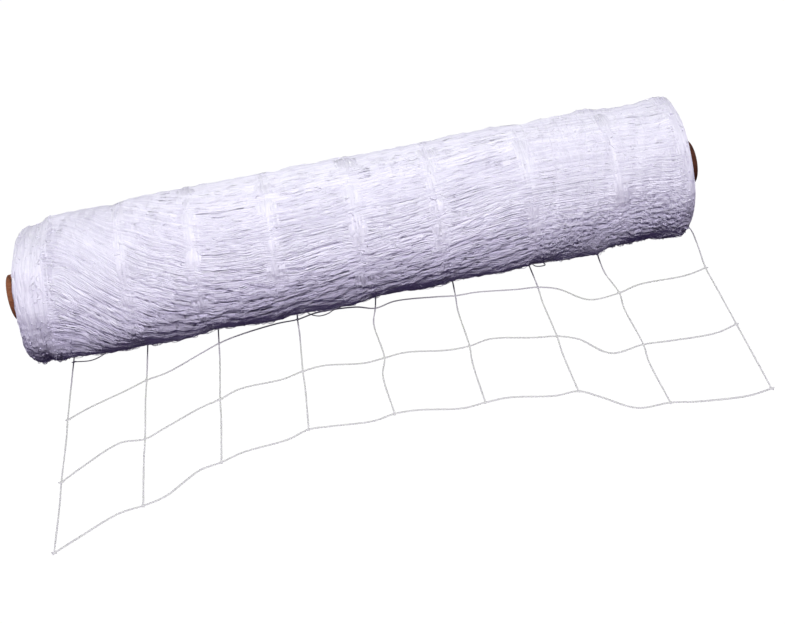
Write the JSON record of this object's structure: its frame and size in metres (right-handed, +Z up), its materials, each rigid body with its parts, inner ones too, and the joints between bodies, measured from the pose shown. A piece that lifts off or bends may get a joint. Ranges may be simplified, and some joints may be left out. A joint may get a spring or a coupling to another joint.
{
  "type": "roll of trellis netting",
  "caption": "Long roll of white open-mesh plastic trellis net wound on a cardboard core, its loose end drawn out flat in front.",
  "frame": {"origin": "on the ground under the middle of the roll, at the flat spot it rests on", "axes": "+X along the roll, -Y towards the drawn-out end of the net, +Z up"},
  "size_m": [1.275, 0.6527, 0.269],
  "materials": {
    "net_white": "white extruded polypropylene net wound in many layers, silky",
    "kraft_board": "brown spiral-wound kraft board, matte",
    "net_strand": "single milky polypropylene strands, satin"
  },
  "bodies": {
    "root": {"net_roll": "net_white", "core_tube": "kraft_board", "loose_end": "net_strand"}
  },
  "joints": []
}
